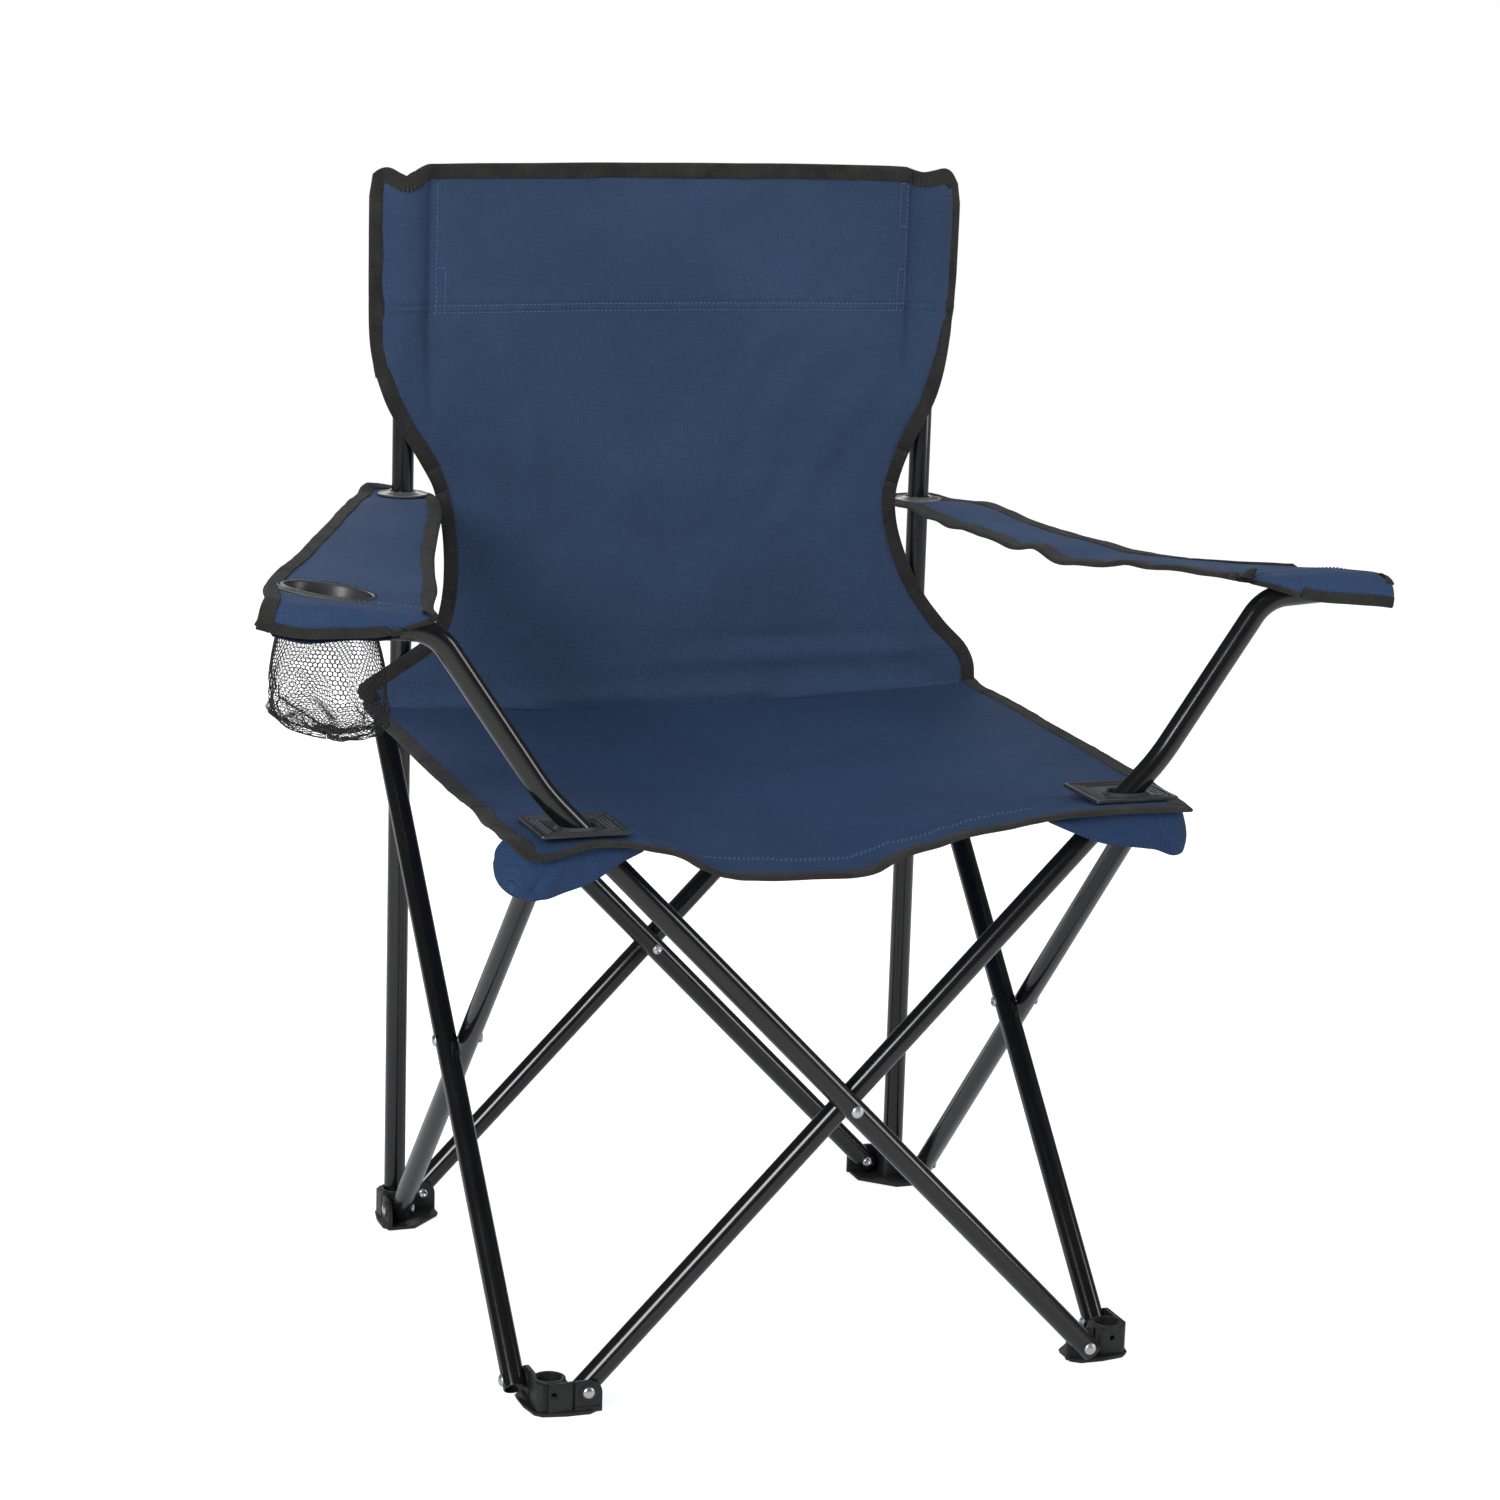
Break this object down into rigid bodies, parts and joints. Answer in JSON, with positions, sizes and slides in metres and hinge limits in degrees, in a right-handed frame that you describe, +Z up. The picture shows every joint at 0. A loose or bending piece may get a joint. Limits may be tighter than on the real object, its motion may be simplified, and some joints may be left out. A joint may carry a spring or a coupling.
{
  "type": "folding camp chair",
  "caption": "Folding camp chair: crossed steel tube frame that gathers into a bundle, fabric seat and back, fabric armrests, and a cup holder with a hanging net bag.",
  "frame": {"origin": "middle of the bounding box on the ground, under the seat", "axes": "+Z up; the sitter faces -Y; +X is on the right of someone looking at the front of the chair"},
  "size_m": [0.806, 0.4824, 0.8],
  "materials": {
    "frame_steel": "glossy black powder coat on steel tube",
    "zinc": "bright zinc plated rivet",
    "black_plastic": "black moulded plastic, fine texture",
    "grey_plastic": "dark grey moulded plastic",
    "cloth": "blue-grey plain weave polyester with black ribbed binding",
    "net": "black diamond mesh"
  },
  "bodies": {
    "rear_left_upright": {"foot_rear_left": "black_plastic", "upright_left": "frame_steel", "upright_pin_left": "zinc", "rivet_foot_x_rear_left": "zinc", "rivet_foot_y_rear_left": "zinc", "back_upper": "cloth"},
    "back_tube_a": {"back_tube_a": "frame_steel", "rivet_cross_back": "zinc"},
    "back_tube_b": {"back_tube_b": "frame_steel"},
    "rear_right_upright": {"foot_rear_right": "black_plastic", "upright_right": "frame_steel", "upright_pin_right": "zinc", "rivet_foot_x_rear_right": "zinc", "rivet_foot_y_rear_right": "zinc"},
    "slider_left": {"slider_rear_left": "black_plastic", "rivet_slider_x_rear_left": "zinc", "rivet_slider_y_rear_left": "zinc", "seat_rear": "cloth"},
    "slider_right": {"slider_rear_right": "black_plastic", "rivet_slider_x_rear_right": "zinc", "rivet_slider_y_rear_right": "zinc"},
    "left_tube_a": {"left_tube_a": "frame_steel", "rivet_cross_left": "zinc"},
    "left_tube_b": {"left_tube_b": "frame_steel"},
    "front_left_foot": {"foot_front_left": "black_plastic", "rivet_foot_x_front_left": "zinc", "rivet_foot_y_front_left": "zinc"},
    "bracket_left": {"bracket_front_left": "black_plastic", "rivet_bracket_x_front_left": "zinc", "rivet_bracket_y_front_left": "zinc", "corner_plate_left": "grey_plastic", "corner_pocket_left": "cloth", "seat_front": "cloth"},
    "right_tube_a": {"right_tube_a": "frame_steel", "rivet_cross_right": "zinc"},
    "right_tube_b": {"right_tube_b": "frame_steel"},
    "front_right_foot": {"foot_front_right": "black_plastic", "rivet_foot_x_front_right": "zinc", "rivet_foot_y_front_right": "zinc"},
    "bracket_right": {"bracket_front_right": "black_plastic", "rivet_bracket_x_front_right": "zinc", "rivet_bracket_y_front_right": "zinc", "corner_plate_right": "grey_plastic", "corner_pocket_right": "cloth"},
    "front_tube_b": {"front_tube_b": "frame_steel", "armrest_right": "cloth"},
    "front_tube_a": {"front_tube_a": "frame_steel", "rivet_cross_front": "zinc", "armrest_left": "cloth", "cup_ring": "grey_plastic", "cup_net": "net"},
    "arm_rear_left": {"armrest_grommet_left": "grey_plastic"},
    "arm_rear_right": {"armrest_grommet_right": "grey_plastic"},
    "seat_fold_rear": {"seat_fold_rear": "cloth"},
    "seat_fold_front": {"seat_fold_front": "cloth"},
    "back_fold_upper": {"back_fold_upper": "cloth"},
    "back_fold_lower": {"back_fold_lower": "cloth"}
  },
  "joints": [
    {"name": "fold", "type": "hinge", "parent": "rear_left_upright", "child": "back_tube_a", "pos_m": [-0.182, 0.23085, 0.015], "axis": [0, -1, 0], "range_deg": [0, 35], "deforming": ["back_upper", "seat_rear", "seat_front", "armrest_left", "armrest_right", "seat_fold_rear", "seat_fold_front", "back_fold_upper", "back_fold_lower", "corner_pocket_left", "corner_pocket_right"]},
    {"name": "back_cross", "type": "hinge", "parent": "back_tube_a", "child": "back_tube_b", "pos_m": [0, 0.2226, 0.20216], "axis": [0, 1, 0], "range_deg": [0, 70.01]},
    {"name": "rear_right_foot_back", "type": "hinge", "parent": "back_tube_b", "child": "rear_right_upright", "pos_m": [0.182, 0.21435, 0.015], "axis": [0, -1, 0], "range_deg": [0, 35]},
    {"name": "slider_left_back", "type": "hinge", "parent": "back_tube_b", "child": "slider_left", "pos_m": [-0.182, 0.21435, 0.38931], "axis": [0, -1, 0], "range_deg": [0, 35]},
    {"name": "slider_right_back", "type": "hinge", "parent": "back_tube_a", "child": "slider_right", "pos_m": [0.182, 0.23085, 0.38931], "axis": [0, 1, 0], "range_deg": [0, 35]},
    {"name": "left_rear_foot_side", "type": "hinge", "parent": "rear_left_upright", "child": "left_tube_a", "pos_m": [-0.2075, 0.18885, 0.015], "axis": [-1, 0, 0], "range_deg": [0, 35]},
    {"name": "left_cross", "type": "hinge", "parent": "left_tube_a", "child": "left_tube_b", "pos_m": [-0.21575, 0.00685, 0.20216], "axis": [1, 0, 0], "range_deg": [0, 70.01]},
    {"name": "front_left_foot_side", "type": "hinge", "parent": "left_tube_b", "child": "front_left_foot", "pos_m": [-0.224, -0.17515, 0.015], "axis": [-1, 0, 0], "range_deg": [0, 35]},
    {"name": "bracket_left_side", "type": "hinge", "parent": "left_tube_a", "child": "bracket_left", "pos_m": [-0.2075, -0.17515, 0.38931], "axis": [1, 0, 0], "range_deg": [0, 35]},
    {"name": "right_rear_foot_side", "type": "hinge", "parent": "rear_right_upright", "child": "right_tube_a", "pos_m": [0.224, 0.18885, 0.015], "axis": [-1, 0, 0], "range_deg": [0, 35]},
    {"name": "right_cross", "type": "hinge", "parent": "right_tube_a", "child": "right_tube_b", "pos_m": [0.21575, 0.00685, 0.20216], "axis": [1, 0, 0], "range_deg": [0, 70.01]},
    {"name": "front_right_foot_side", "type": "hinge", "parent": "right_tube_b", "child": "front_right_foot", "pos_m": [0.2075, -0.17515, 0.015], "axis": [-1, 0, 0], "range_deg": [0, 35]},
    {"name": "bracket_right_side", "type": "hinge", "parent": "right_tube_a", "child": "bracket_right", "pos_m": [0.224, -0.17515, 0.38931], "axis": [1, 0, 0], "range_deg": [0, 35]},
    {"name": "front_left_foot_front", "type": "hinge", "parent": "front_left_foot", "child": "front_tube_b", "pos_m": [-0.182, -0.20065, 0.015], "axis": [0, -1, 0], "range_deg": [0, 35]},
    {"name": "front_right_foot_front", "type": "hinge", "parent": "front_right_foot", "child": "front_tube_a", "pos_m": [0.182, -0.21715, 0.015], "axis": [0, 1, 0], "range_deg": [0, 35]},
    {"name": "arm_rear_slide_left", "type": "slide", "parent": "rear_left_upright", "child": "arm_rear_left", "axis": [0, 0, 1], "range_m": [0, 0.0802]},
    {"name": "arm_rear_slide_right", "type": "slide", "parent": "rear_right_upright", "child": "arm_rear_right", "axis": [0, 0, 1], "range_m": [0, 0.0802]},
    {"name": "seat_fold_rear", "type": "hinge", "parent": "slider_left", "child": "seat_fold_rear", "pos_m": [0, 0.15685, 0.40461], "axis": [1, 0, 0], "range_deg": [0, 86.29]},
    {"name": "seat_fold_front", "type": "hinge", "parent": "bracket_left", "child": "seat_fold_front", "pos_m": [0, -0.14315, 0.40461], "axis": [-1, 0, 0], "range_deg": [0, 86.29]},
    {"name": "back_fold_upper", "type": "hinge", "parent": "rear_left_upright", "child": "back_fold_upper", "pos_m": [0, 0.20135, 0.564], "axis": [1, 0, 0], "range_deg": [0, 83.93]},
    {"name": "back_fold_lower", "type": "hinge", "parent": "slider_left", "child": "back_fold_lower", "pos_m": [0, 0.20135, 0.40621], "axis": [-1, 0, 0], "range_deg": [0, 83.93]}
  ],
  "couplings": [
    {"joint": "back_cross", "follows": "fold", "ratio": 2},
    {"joint": "rear_right_foot_back", "follows": "fold", "ratio": 1},
    {"joint": "slider_left_back", "follows": "fold", "ratio": 1},
    {"joint": "slider_right_back", "follows": "fold", "ratio": 1},
    {"joint": "left_rear_foot_side", "follows": "fold", "ratio": 1},
    {"joint": "left_cross", "follows": "fold", "ratio": 2},
    {"joint": "front_left_foot_side", "follows": "fold", "ratio": 1},
    {"joint": "bracket_left_side", "follows": "fold", "ratio": 1},
    {"joint": "right_rear_foot_side", "follows": "fold", "ratio": 1},
    {"joint": "right_cross", "follows": "fold", "ratio": 2},
    {"joint": "front_right_foot_side", "follows": "fold", "ratio": 1},
    {"joint": "bracket_right_side", "follows": "fold", "ratio": 1},
    {"joint": "front_left_foot_front", "follows": "fold", "ratio": 1},
    {"joint": "front_right_foot_front", "follows": "fold", "ratio": 1},
    {"joint": "arm_rear_slide_left", "follows": "fold", "m_per_rad": 0.13096},
    {"joint": "arm_rear_slide_right", "follows": "fold", "m_per_rad": 0.13096},
    {"joint": "seat_fold_rear", "follows": "fold", "ratio": 2.4651},
    {"joint": "seat_fold_front", "follows": "fold", "ratio": 2.4651},
    {"joint": "back_fold_upper", "follows": "fold", "ratio": 2.3978},
    {"joint": "back_fold_lower", "follows": "fold", "ratio": 2.3978}
  ]
}
